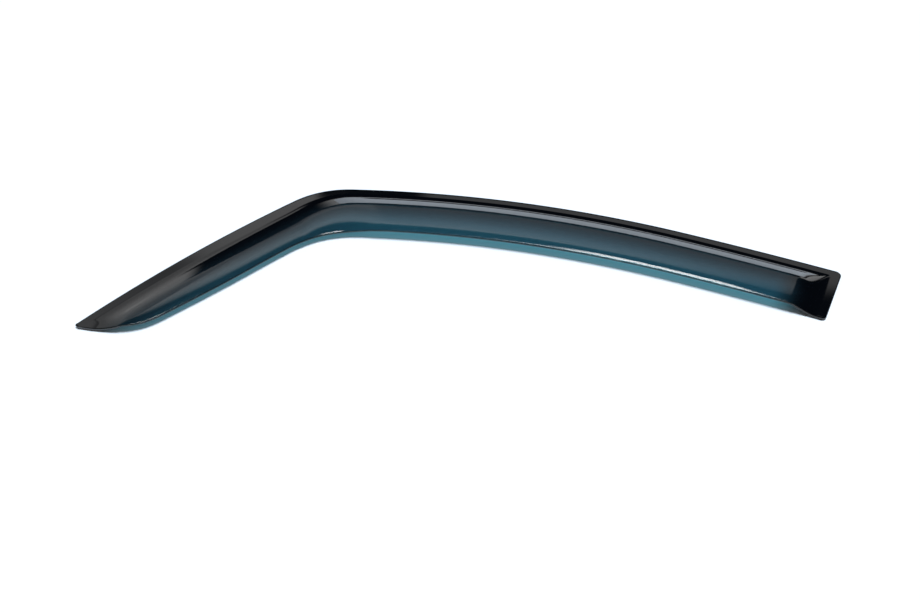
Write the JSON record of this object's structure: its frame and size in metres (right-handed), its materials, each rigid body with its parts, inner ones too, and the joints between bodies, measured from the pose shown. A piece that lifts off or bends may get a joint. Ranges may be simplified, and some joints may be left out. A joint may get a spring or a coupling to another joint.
{
  "type": "window rain deflector",
  "caption": "Smoked clear deflector strip for a car's front side window, cranked at the pillar, with a flat taped flange, a raised visor and a sloped rear end.",
  "frame": {"origin": "on the back of the upper foam tape, on its centre line, at the middle of the corner bend", "axes": "+X along the straight line from the front tip to the rear end, +Y towards the roof, +Z out of the door, away from the surface that the tape sticks to"},
  "size_m": [0.8643, 0.2623, 0.0159],
  "materials": {
    "smoked_acrylic": "polished, see-through, smoked blue-grey",
    "foam_tape": "matt closed-cell foam"
  },
  "bodies": {
    "root": {"visor_shell": "smoked_acrylic", "top_tape": "foam_tape", "end_tape": "foam_tape"}
  },
  "joints": []
}
